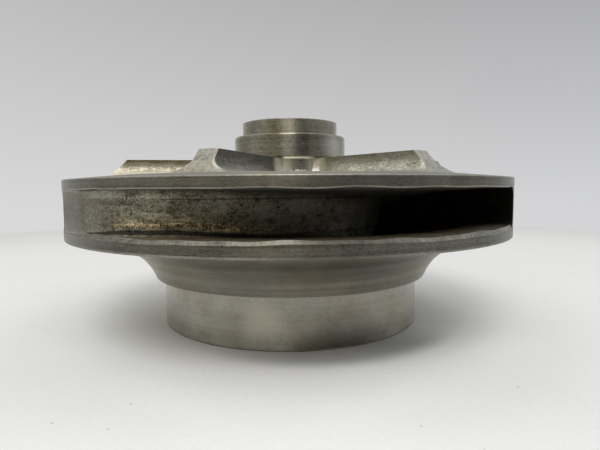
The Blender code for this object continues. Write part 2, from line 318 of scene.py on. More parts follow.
SPIGOT_FINISH = turned_steel("turned spigot", (0.12, 0.112, 0.088), (0.50, 0.473, 0.402), 0.28,
    grain=1.0, bands=0.5, smudge=0.9, specks=0.3, brown=0.6, painted_reflections=SPIGOT_PAINTED_REFLECTIONS, **HUB_CUT)
COLLAR_FINISH = turned_steel("turned collar", (0.105, 0.097, 0.075), (0.45, 0.424, 0.358), 0.28,
    grain=1.3, bands=0.6, smudge=0.8, specks=0.4, brown=0.7, painted_reflections=COLLAR_PAINTED_REFLECTIONS, **HUB_CUT)
# Painted light: the neck is polished, and its colour is raised near white, above the other turned steel
NECK_FINISH_WITH_PAINTED_LIGHT = turned_steel("polished neck with painted light", (0.76, 0.73, 0.63), (1.0, 0.97, 0.87), 0.24,
    grain=0.6, smudge=1.0, specks=0.1, brown=0.9, anisotropic=0.5)
LAND_FINISH = turned_steel("turned disc", (0.125, 0.119, 0.103), (0.315, 0.304, 0.27), 0.50, grain=0.8)
RAMP_FINISH = turned_steel("turned ramp", (0.21, 0.197, 0.163), (0.58, 0.557, 0.487), 0.40,
    grain=1.6, pitch=0.5 * MM, depth=0.02 * MM, smudge=0.7)
EDGE_FINISH = turned_steel("broken edge", (0.13, 0.123, 0.104), (0.50, 0.475, 0.41), 0.42,
    grain=1.2, smudge=0.8, specks=0.3, anisotropic=0.3)
LIP_FINISH = turned_steel("ground lip", (0.10, 0.094, 0.080), (0.37, 0.35, 0.30), 0.45,
    grain=1.4, smudge=0.9, specks=0.3, anisotropic=0.3, painted_reflections=LIP_PAINTED_REFLECTIONS)
BRIGHT_EDGE = turned_steel("bright rib edge", (0.40, 0.385, 0.34), (0.85, 0.82, 0.73), 0.36, grain=1.2)
print("turned finishes:", len(bpy.data.materials))

# %% [markdown]
# Cast steel
#
# Molten steel takes the grain of the sand, and water and heat have since stained it olive and bronze. The
# skin has three scales: lumps of a few millimetres, which are made in the mesh further down, sand grain of
# half a millimetre, and black pits in loose clusters. Grain and pits are noise in the bump and the colour.
# A picture would be quicker, but it could not run over the fillets without a seam.

# %% Cast finish
CREVICE_BLACK, PIT_BLACK = (0.022, 0.019, 0.013), (0.006, 0.005, 0.004)


def cast_steel(name, dark, light, roughness, crevices=0.7, pits=0.8, layers=1.0, change=None, metallic=0.9):
    """Material for the cast skin. crevices, pits and layers say how strong the black blotches, the holes and
    the level bands of colour are. change(nodes, metal, place, sand, patch) lays further stains over it."""
    material, nodes, shader, place = start_material(name)
    x, y, z = nodes.split(place)
    sand = nodes.swing(place, scale=1150.0, detail=3.0, roughness=0.75)
    patch = nodes.swing(place, scale=130.0, detail=4.0)
    level = nodes.join(x / (16 * MM), y / (16 * MM), z / (1.8 * MM))
    layer = nodes.swing(level, detail=5.0, roughness=0.7)
    blotch = nodes.noise(nodes.join(x * 230.0, y * 230.0, z * 420.0), detail=5.0, roughness=0.72)
    blotch = nodes.step(blotch + 0.03 * patch, 0.47, 0.38)
    speck = nodes.step(nodes.noise(place, scale=1500.0, detail=2.0), 0.45, 0.35)
    crevice = nodes.math("MAXIMUM", 0.75 * blotch, speck * nodes.step(patch, 1.2, -0.6))
    hole = nodes.step(nodes.noise(place, scale=800.0, detail=1.0), 0.63, 0.71) * nodes.step(patch, 0.3, -0.4)
    radius = from_shaft(x, y) / MM
    rubbed = nodes.step(radius, 120, 126.5, 1.0, 0.25) * nodes.step(radius, 33, 42)
    crevice, hole = crevice * rubbed, hole * rubbed
    tone = 0.5 + 0.60 * sand + 0.34 * layers * layer + 0.28 * patch
    tone = nodes.math("MINIMUM", nodes.math("MAXIMUM", tone, 0.0), 1.5)
    metal = nodes.mix(tone, dark, light)
    if change:
        metal = change(nodes, metal, place, sand, patch)
    metal = nodes.mix(crevices * crevice, metal, CREVICE_BLACK)
    metal = nodes.mix(pits * hole, metal, PIT_BLACK)
    height = 0.4 * sand + 0.3 * patch - 0.8 * crevice - 1.4 * hole
    nodes.feed(shader.inputs["Base Color"], metal)
    worn = roughness * nodes.step(radius, 33, 38, 0.8, 1.0)
    nodes.feed(shader.inputs["Roughness"], worn + 0.06 * sand + 0.2 * crevice + 0.2 * hole)
    nodes.feed(shader.inputs["Normal"], nodes.node("Bump", inputs={"Height": height, "Distance": 0.16 * MM}))
    shader.inputs["Metallic"].default_value = metallic
    return material


# %% Stains in the passage
TIDE_LINE = (60.6, 62.0, 66.0)
# Heights of the painted shade band in the corner, the passage floor below it, and the pale band
SHADE_BAND_TOP, SHADE_BAND_BOTTOM, PASSAGE_FLOOR_LEVEL, CLEAN_TOP = 60.9, 60.0, 58.3, 73.4
OLD_BROWN, LIGHT_BROWN, DEEP_PASSAGE_SHADE = (0.10, 0.082, 0.045), (0.38, 0.31, 0.17), (0.160, 0.152, 0.130)
TIDE_BROWN, TIDE_GOLD_AND_HIGHLIGHT, FLOOR_TAN = (0.11, 0.083, 0.045), (1.0, 0.84, 0.54), (0.42, 0.33, 0.21)
WIPED_DARK, WIPED_LIGHT = (0.11, 0.104, 0.089), (0.29, 0.28, 0.245)
PALE_BAND, PAINTED_SHADE_LINE, CORNER_SHADE_BLACK = (0.42, 0.415, 0.33), (0.014, 0.012, 0.009), (0.034, 0.030, 0.023)


def passage_stains(nodes, metal, place, sand, patch):
    """From the lower shroud up: a painted shade band in the corner along the vane's foot, a golden tide line
    whose near-white gold spots are painted highlights, a paler band under the upper shroud, with a painted
    shade line below it. Near the rim the skin was wiped grey, and further in it is painted darker as shade.
    Radii and heights are in millimetres here."""
    x, y, z = nodes.split(place)
    radius, height = from_shaft(x, y) / MM, z / MM
    streak = nodes.noise(nodes.join(x * 60.0, y * 60.0, z * 900.0), detail=4.0, roughness=0.7)
    olive = nodes.noise(nodes.join(x * 40.0, y * 40.0, z * 220.0), detail=5.0, roughness=0.7)
    brown = nodes.mix(0.5 + 0.6 * sand, OLD_BROWN, LIGHT_BROWN)
    metal = nodes.mix(0.6 * nodes.step(olive, 0.45, 0.58), metal, brown)
    # Painted shade: further into the passage the colour turns a darker grey
    metal = nodes.mix(nodes.step(radius, 96, 116, 0.65, 0.0), metal, DEEP_PASSAGE_SHADE)
    low, middle, high = TIDE_LINE
    sunk = height + nodes.step(radius, 112, 97, 0.0, 2.3)
    tide = nodes.step(sunk, low, middle) * nodes.step(sunk, high, middle)
    tide = tide * nodes.step(radius, 123, 118) * nodes.step(radius, 88, 107, 0.12, 1.0)
    metal = nodes.mix(0.85 * tide, metal, TIDE_BROWN)
    # The tide line is a real bronze stain; its near-white gold spots are painted highlights
    gold_and_highlight = nodes.step(0.7 * streak + 0.20 * sand + 0.08 * patch, 0.30, 0.50)
    metal = nodes.mix(0.95 * tide * gold_and_highlight, metal, TIDE_GOLD_AND_HIGHLIGHT)
    wiped = nodes.step(radius + 1.2 * patch, 118, 125)
    metal = nodes.mix(0.75 * wiped, metal, nodes.mix(0.5 + 0.5 * sand, WIPED_DARK, WIPED_LIGHT))
    pale = nodes.step(height, CLEAN_TOP - 0.2, CLEAN_TOP + 0.3) * nodes.step(sand + patch, -1.4, 0.9)
    metal = nodes.mix(pale * nodes.step(radius, 105, 117, 0.16, 0.6), metal, PALE_BAND)
    # Painted shade: a thin dark line just below the paler band, where the upper fillet meets the vane
    line = nodes.step(height, CLEAN_TOP - 1.0, CLEAN_TOP - 0.4)
    line = line * nodes.step(height, CLEAN_TOP, CLEAN_TOP - 0.4) * nodes.step(radius, 118, 110)
    metal = nodes.mix(0.7 * line, metal, PAINTED_SHADE_LINE)
    floor = nodes.step(height, PASSAGE_FLOOR_LEVEL, PASSAGE_FLOOR_LEVEL - 0.3) * nodes.step(radius, 84, 100)
    metal = nodes.mix(0.8 * floor * nodes.step(streak, 0.36, 0.58), metal, FLOOR_TAN)
    # Painted shade: a near-black band in the corner along the vane's foot, just above the lower shroud
    above = sunk + 0.2 * patch + nodes.step(radius, 119, 126.5, 0.0, 1.2)
    corner_shade = nodes.step(above, SHADE_BAND_TOP, SHADE_BAND_BOTTOM) * nodes.step(sunk, PASSAGE_FLOOR_LEVEL, PASSAGE_FLOOR_LEVEL + 0.4)
    return nodes.mix(corner_shade * nodes.step(radius, 78, 104, 0.45, 0.96), metal, CORNER_SHADE_BLACK)


# %% Stains on the ribs and on the ground between them
GROUND_DARK, GROUND_LIGHT = (0.26, 0.247, 0.215), (0.44, 0.422, 0.374)
ROOT_DARK, ROOT_LIGHT, SCRAPED = (0.60, 0.57, 0.49), (0.98, 0.95, 0.84), (1.0, 0.96, 0.83)
RIB_BORDER, RIB_BORDER_FOOT = 1.0 * MM, 6.0 * MM


def bright_root(nodes, metal, place, sand, patch):
    """Close to the neck the tool that turned it has left everything bright."""
    x, y, z = nodes.split(place)
    root = nodes.step(from_shaft(x, y), 39 * MM, 34 * MM)
    bright = nodes.mix(0.5 + 0.4 * sand, ROOT_DARK, ROOT_LIGHT)
    return nodes.mix(0.9 * root, metal, bright)


def rib_stains(brow, foot, splashed, burr):
    """Stains of a rib: the colour that its top fades to, and the colour along its foot, which lies there
    evenly or, as far as it is splashed, in drops. Where the lathe has cut the ramp, the flank keeps a bright
    border, which widens towards the foot."""
    def change(nodes, metal, place, sand, patch):
        x, y, z = nodes.split(place)
        rise = (z - BACK_LAND_TOP) / (RIB_TOP - BACK_LAND_TOP)
        streak = nodes.noise(nodes.join(x * 120.0, y * 120.0, z * 1100.0), detail=3.0, roughness=0.6) - 0.5
        metal = nodes.mix(nodes.step(rise + 0.06 * patch + 0.5 * streak, 0.50, 1.0), metal, brow)
        drops = nodes.noise(place, scale=520.0, detail=4.0, roughness=0.65) + 0.05 * patch
        drops = nodes.step(drops - 0.30 * rise, 0.40, 0.56)
        even = nodes.step(rise + 0.8 * streak, 0.45, 0.20)
        metal = nodes.mix(0.75 * (splashed * drops + (1.0 - splashed) * even), metal, foot)
        fall = nodes.math("MAXIMUM", 1.0 - rise, 0.0)
        ramp = RIB_END + RAMP_LENGTH * fall**RAMP_HOLLOW
        inside = (ramp - from_shaft(x, y)) / (RIB_BORDER + RIB_BORDER_FOOT * fall**3.0)
        scraped = burr * nodes.step(inside + 0.15 * patch, 1.2, 0.7) * nodes.step(rise, -0.05, 0.3, 0.55, 1.0)
        metal = nodes.mix(scraped, metal, SCRAPED)
        ground = nodes.mix(0.5 + 0.45 * sand + 0.25 * patch, GROUND_DARK, GROUND_LIGHT)
        metal = nodes.mix(nodes.step(rise + 0.03 * sand, 0.22, 0.0), metal, ground)
        return bright_root(nodes, metal, place, sand, patch)
    return change


# %% Cast finishes
PASSAGE_FINISH = cast_steel("stained passage", (0.055, 0.050, 0.037), (0.52, 0.485, 0.385), 0.50,
    change=passage_stains)
# Painted shade: a plain darker copy of the passage finish, for the vanes' concave sides and noses deep inside
SHADED_PASSAGE_FINISH = cast_steel("passage painted in shade", (0.040, 0.037, 0.031), (0.19, 0.176, 0.146), 0.55)
GREY_RIB = cast_steel("grey rib", (0.035, 0.032, 0.026), (0.32, 0.304, 0.268), 0.42, crevices=0.2,
    pits=0.3, layers=1.6, change=rib_stains((0.13, 0.124, 0.112), (0.30, 0.285, 0.25), 0.5, 0.95))
BRONZE_RIB = cast_steel("bronzed rib", (0.46, 0.415, 0.32), (0.70, 0.65, 0.53), 0.48, crevices=0.15,
    pits=0.15, layers=0.3, change=rib_stains((0.17, 0.13, 0.07), (0.82, 0.77, 0.64), 0.0, 0.3))
BEIGE_RIB = cast_steel("beige rib", (0.31, 0.293, 0.243), (0.60, 0.573, 0.487), 0.42, crevices=0.25,
    pits=0.3, layers=0.4, change=rib_stains((0.24, 0.224, 0.18), (0.82, 0.785, 0.675), 1.0, 0.25))
GROUND_FINISH = cast_steel("cast ground", GROUND_DARK, GROUND_LIGHT, 0.42, crevices=0.20, pits=0.30,
    layers=0.0, change=bright_root)
# Painted shade: a near-black, barely metallic finish for the passage ceiling, which lies in deep shade
SHADED_CEILING_FINISH = cast_steel("passage ceiling painted as shade", (0.030, 0.028, 0.024), (0.110, 0.102, 0.088), 0.65, metallic=0.3)
print("finishes:", len(bpy.data.materials))

# %% [markdown]
# Curves, noise and meshes
#
# Three helpers make every form. bend() samples a cubic curve, lumps() is smooth noise from a seeded lattice
# that dents or swells a cast surface the same way each run, and make_piece() turns a grid of points into a
# mesh and hangs it on the model. All of them work on whole arrays.

# %% Curve and noise
def bend(controls, count):
    """count + 1 points of the cubic curve (1-t)^3 a + 3(1-t)^2 t b + 3(1-t) t^2 c + t^3 d."""
    a, b, c, d = np.array(controls, float)
    t = np.linspace(0.0, 1.0, count + 1)[:, None]
    return (1 - t) ** 3 * a + 3 * (1 - t) ** 2 * t * b + 3 * (1 - t) * t**2 * c + t**3 * d


LATTICE = 32


def lumps(points, spacing, seed):
    """Noise from -1 to 1: random numbers on a lattice, blended between the eight corners of each cell by the
    smooth weight 3 f^2 - 2 f^3."""
    table = np.random.default_rng(seed).uniform(-1.0, 1.0, (LATTICE, LATTICE, LATTICE))
    scaled = points / spacing
    cell = np.floor(scaled).astype(int)
    share = scaled - cell
    share = share * share * (3 - 2 * share)
    total = np.zeros(points.shape[:-1])
    for corner in product((0, 1), repeat=3):
        weight = np.prod(np.where(corner, share, 1 - share), axis=-1)
        i, j, k = np.moveaxis((cell + corner) % LATTICE, -1, 0)
        total += weight * table[i, j, k]
    return total


SKIN_LAYERS = [(0.16, 7.0), (0.09, 2.2), (0.05, 1.0)]  # height and spacing of the lumps, in millimetres
DENT_DEPTH, DENT_SPACING, DENT_FROM, DENT_FADE = 0.18, 1.7, 0.45, 0.3


def cast_skin(points, seed):
    """Height of the cast skin, in metres: broad, smaller and fine lumps added up, and a few dents."""
    skin = sum(height * lumps(points, spacing * MM, seed + layer)
               for layer, (height, spacing) in enumerate(SKIN_LAYERS))
    dented = lumps(points, DENT_SPACING * MM, seed + len(SKIN_LAYERS)) - DENT_FROM
    return (skin - DENT_DEPTH * np.clip(dented, 0.0, DENT_FADE) / DENT_FADE) * MM


# %% Mesh and piece
SHARP_ANGLE = radians(35.0)


def make_piece(name, points, quads, finishes, face_finish, nodes):
    """Builds the mesh from whole arrays, points its faces outwards and lets it stand for its nodes."""
    corners = points[quads]
    across = np.cross(corners[:, 2] - corners[:, 0], corners[:, 3] - corners[:, 1])
    if np.sum(across * corners.mean(axis=1)) < 0:
        quads = quads[:, ::-1]
    mesh = bpy.data.meshes.new(name)
    mesh.vertices.add(len(points))
    mesh.vertices.foreach_set("co", points.astype(np.float32).ravel())
    mesh.loops.add(quads.size)
    mesh.loops.foreach_set("vertex_index", quads.astype(np.int32).ravel())
    mesh.polygons.add(len(quads))
    mesh.polygons.foreach_set("loop_start", np.arange(0, quads.size, 4, dtype=np.int32))
    mesh.polygons.foreach_set("material_index", face_finish.astype(np.int32))
    mesh.update(calc_edges=True)
    mesh.shade_smooth()
    mesh.set_sharp_from_angle(angle=SHARP_ANGLE)
    for finish in finishes:
        mesh.materials.append(finish)
    piece = bpy.data.objects.new(name, mesh)
    bpy.context.scene.collection.objects.link(piece)
    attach(piece, "root")
    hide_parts(*nodes)
    print(name, "triangles", 2 * len(quads))
    return piece


# %% [markdown]
# Turning a profile
#
# The eye ring, the shrouds and the hub are lathe work: a closed outline swept round the shaft. A Screw
# modifier would sweep it evenly, but the lips were ground by hand and wander, so the sweep is done on a grid
# where a function may move each point. The outline is a list of corners. Each says how much it is rounded
# and which finish the leg after it has, and long legs are split so that they can carry small dents.

# %% Outline with rounded corners
ARC_STEPS = 4
EASE = 1.6  # a point this many times the cut from a corner keeps the shading of its arc off the flat leg


def rounded_outline(corners, longest):
    """Closed outline from corners (radius, height, rounding, finish of the next leg, finish of the arc if it
    differs). The arc at a corner touches both legs at rounding / tan(half the corner's angle) from it. Gives
    the points and a finish for each leg."""
    spot = np.array([c[:2] for c in corners], float)
    points, finish = [], []
    for i, (_, _, rounding, leg, *arc_finish) in enumerate(corners):
        back, ahead = spot[i - 1] - spot[i], spot[(i + 1) % len(spot)] - spot[i]
        back, ahead = back / np.linalg.norm(back), ahead / np.linalg.norm(ahead)
        if rounding:
            half = np.arccos(np.clip(back @ ahead, -1.0, 1.0)) / 2
            cut = rounding / np.tan(half)
            middle = spot[i] + (back + ahead) / np.linalg.norm(back + ahead) * rounding / np.sin(half)
            first, last = spot[i] + back * cut - middle, spot[i] + ahead * cut - middle
            share = np.linspace(0.0, 1.0, ARC_STEPS + 1)[:, None]
            swing = pi - 2 * half
            arc = (np.sin((1 - share) * swing) * first + np.sin(share * swing) * last) / np.sin(swing)
            points += [spot[i] + back * EASE * cut, *(middle + arc), spot[i] + ahead * EASE * cut]
            finish += (arc_finish or [leg]) * (ARC_STEPS + 2) + [leg]
        else:
            points.append(spot[i])
            finish.append(leg)
    return split_legs(np.array(points), np.array(finish), longest)


def split_legs(points, finish, longest):
    """Splits every leg of a closed outline into equal parts no longer than this."""
    ahead = np.roll(points, -1, axis=0)
    parts = np.maximum(1, np.ceil(np.linalg.norm(ahead - points, axis=1) / longest)).astype(int)
    first = np.repeat(np.arange(len(points)), parts)
    share = np.arange(parts.sum()) - np.repeat(np.cumsum(parts) - parts, parts)
    share = (share / parts[first])[:, None]
    return points[first] * (1 - share) + ahead[first] * share, finish[first]


# %% Sweep round the shaft
def outline_normals(points):
    """Unit normals of a closed outline in its own plane: each leg's direction, turned by a right angle."""
    along = np.roll(points, -1, axis=0) - np.roll(points, 1, axis=0)
    along /= np.maximum(np.linalg.norm(along, axis=1, keepdims=True), 1e-12)
    normal = np.stack([along[:, 1], -along[:, 0]], axis=1)
    area = np.sum(points[:, 0] * np.roll(points[:, 1], -1) - np.roll(points[:, 0], -1) * points[:, 1])
    return normal * np.sign(area)


def around(radius, azimuth, height):
    """Points at these radii, azimuths and heights: (r sin a, -r cos a, z)."""
    return np.stack(np.broadcast_arrays(radius * np.sin(azimuth), -radius * np.cos(azimuth), height), axis=-1)


def even_turn(count):
    """count azimuths, evenly spread over one full turn."""
    return np.arange(count) / count * 2 * pi


FULL_TURN = even_turn(540)


def sweep(name, profile, finishes, nodes, change=None, azimuths=FULL_TURN):
    """Surface of two parameters, the place along the outline and the azimuth. The profile is the outline with
    the finish of each leg. change(radius, height, azimuth) gives new radii and heights, for whatever isn't
    perfectly round."""
    outline, finish = profile
    radius, height = outline[:, :1], outline[:, 1:]
    azimuth = azimuths[None, :]
    radius, height = np.broadcast_arrays(radius + 0 * azimuth, height + 0 * azimuth)
    if change:
        radius, height = change(radius, height, azimuth)
    rows, columns = radius.shape
    index = np.arange(rows * columns).reshape(rows, columns)
    ring = [index, np.roll(index, -1, 1), np.roll(np.roll(index, -1, 1), -1, 0), np.roll(index, -1, 0)]
    quads = np.stack(ring, axis=-1).reshape(-1, 4)
    points = around(radius, azimuth, height).reshape(-1, 3)
    return make_piece(name, points, quads, finishes, np.repeat(finish, columns), nodes)


# %% [markdown]
# The eye ring
#
# This plain cylinder runs inside a ring of the pump's casing and is what the impeller stands on. It is the
# smoothest face of all, with a fine turned finish and its edges broken by a file. It reaches up a little
# into the shroud above, which is the same metal.

# %% Eye ring
EYE_RING_BREAK = 0.5 * MM
SMOOTH, BROKEN = 0, 1

ring_corners = [
    (EYE_RING_RADIUS, FLARE_EDGE_HEIGHT + BURIED, 0, SMOOTH),
    (EYE_RING_RADIUS, FLOOR_HEIGHT, EYE_RING_BREAK, BROKEN),
    (EYE_RADIUS, FLOOR_HEIGHT, EYE_RING_BREAK, SMOOTH, BROKEN),
    (EYE_RADIUS, FLARE_EDGE_HEIGHT + BURIED, 0, SMOOTH),
]
ring_profile = rounded_outline(ring_corners, longest=6 * MM)
sweep("finished_eye_ring", ring_profile, [RING_FINISH, EDGE_FINISH], ["eye_ring"])

# %% [markdown]
# The front shroud
#
# Outside it is a turned flare from a sharp lower edge out to the rim, and inside it is the cast throat of
# the passage. The upper lip of the rim was ground by hand to break the edge, so its bright bevel varies in
# width and both its borders wander. A few sine waves round the rim give that wander: they close on
# themselves, and three or four of them already look like handwork.

# %% Wander of a ground lip
LIP_BEVEL, LIP_HEIGHT = 1.1 * MM, 1.5 * MM
LOWER_WAVES = [(5, 0.30, 65), (13, 0.10, 20)]
LIP_WAVES = [(8, 0.23, 71), (19, 0.28, 56), (36, 0.15, 75), (17, 0.12, 245)]  # count, millimetres, phase
LIP_RAISED, LIP_REACH = 0.15 * MM, 2.0 * MM


def wander(azimuth, waves):
    """Sum of sine waves round the rim, each height * sin(count * azimuth + phase)."""
    return sum(height * MM * np.sin(count * azimuth + radians(phase)) for count, height, phase in waves)


def near(radius, height, spot, reach):
    """Weight 1 at this spot of the outline, falling off as exp(-(distance / reach)^2)."""
    return np.exp(-((radius - spot[0]) ** 2 + (height - spot[1]) ** 2) / reach**2)


# %% Front shroud
def flare_points(count):
    """The flare: a cubic curve that leaves its lower edge steeply and reaches the rim almost flat."""
    start, end = np.array([FLARE_EDGE_RADIUS, FLARE_EDGE_HEIGHT]), np.array([RIM_RADIUS, FRONT_RIM_BOTTOM])
    steep, flat = radians(FLARE_EDGE_ANGLE), radians(FLARE_RIM_ANGLE)
    leaving = start + FLARE_EDGE_REACH * np.array([cos(steep), sin(steep)])
    arriving = end - FLARE_RIM_REACH * np.array([cos(flat), sin(flat)])
    return bend([start, leaving, arriving, end], count)


FLARE, RIM, LIP, THROAT = range(4)
EDGE_BREAK = 0.15 * MM
SKIN_FADE = 3 * MM
flare = flare_points(count=40)
throat = bend(THROAT_BEND, count=60)
front_corners = [
    (RIM_RADIUS, OUTLET_BOTTOM - LIP_HEIGHT, 0.3 * MM, RIM, LIP),
    (RIM_RADIUS, FRONT_RIM_BOTTOM, 0.7 * MM, FLARE, LIP),
    *[(r, z, 0, FLARE) for r, z in flare[1:-1][::-1]],
    (FLARE_EDGE_RADIUS, FLARE_EDGE_HEIGHT, EDGE_BREAK, FLARE, LIP),
    (EYE_RADIUS, FLARE_EDGE_HEIGHT, 0, THROAT),
    *[(r, z, 0, THROAT) for r, z in throat],
    (RIM_RADIUS - LIP_BEVEL, OUTLET_BOTTOM - 0.02 * MM, EDGE_BREAK, LIP),
]
front_profile = front_outline, front_finish = rounded_outline(front_corners, longest=1.6 * MM)


def front_change(radius, height, azimuth):
    """Lifts both borders of the ground lip by their wander, and gives the throat its cast skin."""
    inner, outer = (RIM_RADIUS - LIP_BEVEL, OUTLET_BOTTOM), (RIM_RADIUS, OUTLET_BOTTOM - LIP_HEIGHT)
    lift = (LIP_RAISED + wander(azimuth, LIP_WAVES)) * near(radius, height, inner, LIP_REACH)
    lift = lift + wander(azimuth, LOWER_WAVES) * near(radius, height, outer, LIP_HEIGHT / 2)
    cast = np.clip((height - FLARE_EDGE_HEIGHT) / SKIN_FADE, 0, 1) * (front_finish == THROAT)[:, None]
    skin = cast_skin(around(radius, azimuth, height), seed=11) * cast
    normal = outline_normals(front_outline)
    return radius + skin * normal[:, :1], height + lift + skin * normal[:, 1:]


sweep("finished_front_shroud", front_profile, [FLARE_FINISH, FRONT_RIM_FINISH, LIP_FINISH, PASSAGE_FINISH],
      ["front_shroud"], front_change)

# %% [markdown]
# The back shroud
#
# The disc under the ribs. Its rim is turned, with a thin bright line where the top edge was broken and a
# hand-ground border below. On top the lathe has cleaned only the outer land, and the ground between the
# ribs is cast. Underneath it bends down to the hub like a bell, which turns the water outwards.

# %% Back shroud
BACK_WAVES = [(22, 0.16, 183), (27, 0.09, 117), (16, 0.09, 222)]
BACK_BEVEL = 0.5 * MM
LAND, GROUND, SHADED_CEILING = 4, 5, 6
# Beyond this radius the passage ceiling is painted near-black as shade
SHADED_CEILING_FROM = 60.0 * MM
bell = bend(BELL_BEND, count=60)
fillet_turn = np.linspace(0.0, pi / 2, 9)
neck_foot = np.stack([NECK_RADIUS + NECK_FILLET * (1 - np.cos(fillet_turn)),
                      BACK_LAND_TOP + NECK_FILLET * (1 - np.sin(fillet_turn))], axis=1)
back_corners = [
    (RIM_RADIUS, BACK_RIM_TOP, 0.35 * MM, RIM, LIP),
    (RIM_RADIUS, OUTLET_TOP + BACK_BEVEL, 0.12 * MM, LIP),
    (RIM_RADIUS - BACK_BEVEL, OUTLET_TOP, 0.12 * MM, SHADED_CEILING, LIP),
    *[(r, z, 0, SHADED_CEILING if r > SHADED_CEILING_FROM else THROAT) for r, z in bell[2:]],
    (NECK_RADIUS - BURIED, bell[-1, 1], 0, THROAT),
    (NECK_RADIUS - BURIED, neck_foot[0, 1], 0, THROAT),
    *[(r, z, 0, GROUND) for r, z in neck_foot],
    (RIB_END + RAMP_LENGTH, BACK_LAND_TOP, 0, LAND),
    (BACK_LAND_RADIUS, BACK_LAND_TOP, 0, LAND),
]
back_profile = back_outline, back_finish = rounded_outline(back_corners, longest=1.8 * MM)


def back_change(radius, height, azimuth):
    """Moves the lower border of the rim by its wander, and gives the cast faces their skin."""
    inner = (RIM_RADIUS - BACK_BEVEL, OUTLET_TOP)
    lift = (LIP_RAISED + wander(azimuth, BACK_WAVES)) * near(radius, height, inner, LIP_REACH)
    inside = np.clip((RIB_END + RAMP_LENGTH - radius) / SKIN_FADE, 0, 1)
    cast = np.isin(back_finish, [THROAT, GROUND, SHADED_CEILING])[:, None]
    skin = cast_skin(around(radius, azimuth, height), seed=23) * inside * cast
    normal = outline_normals(back_outline)
    return radius + skin * normal[:, :1], height + lift + skin * normal[:, 1:]


sweep("finished_back_shroud", back_profile,
      [FLARE_FINISH, BACK_RIM_FINISH, EDGE_FINISH, PASSAGE_FINISH, LAND_FINISH, GROUND_FINISH, SHADED_CEILING_FINISH],
      ["back_shroud", "hub_bell"], back_change)

# %% [markdown]
# The hub
#
# A neck, a collar and a spigot, turned in one setting and bored for the shaft, with a keyway on the far
# side. The keyway could be cut with a Boolean. A sweep can do without: seen along the shaft, bore and
# keyway together are one outline round the centre, so the bore's radius is made a function of the azimuth.

# %% Hub
HUB_BREAK, HUB_ROUNDING = 0.35 * MM, 0.9 * MM
SPIGOT, EDGE, NECK, BORE, COLLAR = range(5)
key_side, key_end = KEYWAY_WIDTH / 2, BORE_RADIUS + KEYWAY_DEPTH
key_turns = np.array([np.arcsin(key_side / BORE_RADIUS), np.arctan(key_side / key_end)])
hub_azimuths = np.union1d(even_turn(360), [pi - key_turns, pi + key_turns])
hub_corners = [
    (SPIGOT_RADIUS, HUB_TOP, HUB_ROUNDING / 2, SPIGOT, EDGE),
    (SPIGOT_RADIUS, COLLAR_TOP, 0.2 * MM, EDGE, SPIGOT),
    (COLLAR_RADIUS, COLLAR_TOP, HUB_ROUNDING, COLLAR),
    (COLLAR_RADIUS, COLLAR_BOTTOM, HUB_BREAK, COLLAR, EDGE),
    (NECK_RADIUS, COLLAR_BOTTOM, 1.0 * MM, NECK),
    (NECK_RADIUS, NOSE_BOTTOM + NOSE_CHAMFER, 0.3 * MM, SPIGOT, EDGE),
    (NECK_RADIUS - NOSE_CHAMFER, NOSE_BOTTOM, 0.3 * MM, SPIGOT, EDGE),
    (BORE_RADIUS, NOSE_BOTTOM, HUB_BREAK, BORE, EDGE),
    (BORE_RADIUS, HUB_TOP, HUB_BREAK, SPIGOT, EDGE),
]
hub_profile = rounded_outline(hub_corners, longest=2.0 * MM)


def keyed(radius, height, azimuth):
    """Where the outline is on the bore, its radius is the larger of the bore and the keyway, whose wall is
    end / cos(turn) at its end and half width / sin(turn) at its sides."""
    turn = np.abs(azimuth - pi)
    slot = np.minimum(key_end / np.maximum(np.cos(turn), 1e-3), key_side / np.maximum(np.sin(turn), 1e-6))
    slot = np.where(turn < pi / 4, slot, 0.0)
    on_bore = radius < BORE_RADIUS + EASE * HUB_BREAK
    return np.where(on_bore, np.maximum(radius, slot + radius - BORE_RADIUS), radius), height


sweep("finished_hub", hub_profile, [SPIGOT_FINISH, EDGE_FINISH, NECK_FINISH_WITH_PAINTED_LIGHT, FLARE_FINISH, COLLAR_FINISH],
      ["hub"], keyed, hub_azimuths)

# %% [markdown]
# A body from a bent grid
#
# Ribs and vanes are blocks whose six sides are all bent. Each is worked out as a grid with three counts,
# levels up, stations along and columns across, of which only the outer sides are kept. The sides share
# their border points, so the body is closed, and each side can have its own finish.

# %% Block
def steps(count, axis, low=0.0):
    """Even steps from low to 1 along one of the three axes of a grid."""
    shape = [1, 1, 1]
    shape[axis] = count
    return np.linspace(low, 1.0, count).reshape(shape)


def block(name, grid, finishes, side_finish, node):
    """Closed body from a grid of points (levels, stations, columns, 3). side_finish has one number for each
    of its sides: bottom, top, inner end, outer end, first flank and last flank."""
    levels, stations, columns, _ = grid.shape
    index = np.arange(levels * stations * columns).reshape(levels, stations, columns)
    bottom, inner_end, first_flank = index[0][::-1], index[:, 0], index[:, :, 0][::-1]
    sides = [bottom, index[-1], inner_end, index[:, -1][::-1], first_flank, index[:, :, -1]]
    quads, finish = [], []
    for side, kind in zip(sides, side_finish):
        ring = [side[:-1, :-1], side[1:, :-1], side[1:, 1:], side[:-1, 1:]]
        quads.append(np.stack(ring, axis=-1).reshape(-1, 4))
        finish.append(np.full(len(quads[-1]), kind))
    used, quads = np.unique(np.concatenate(quads), return_inverse=True)
    points = grid.reshape(-1, 3)[used]
    return make_piece(name, points, quads.reshape(-1, 4), finishes, np.concatenate(finish),
                      [node])


FILLET_KEPT = 0.985


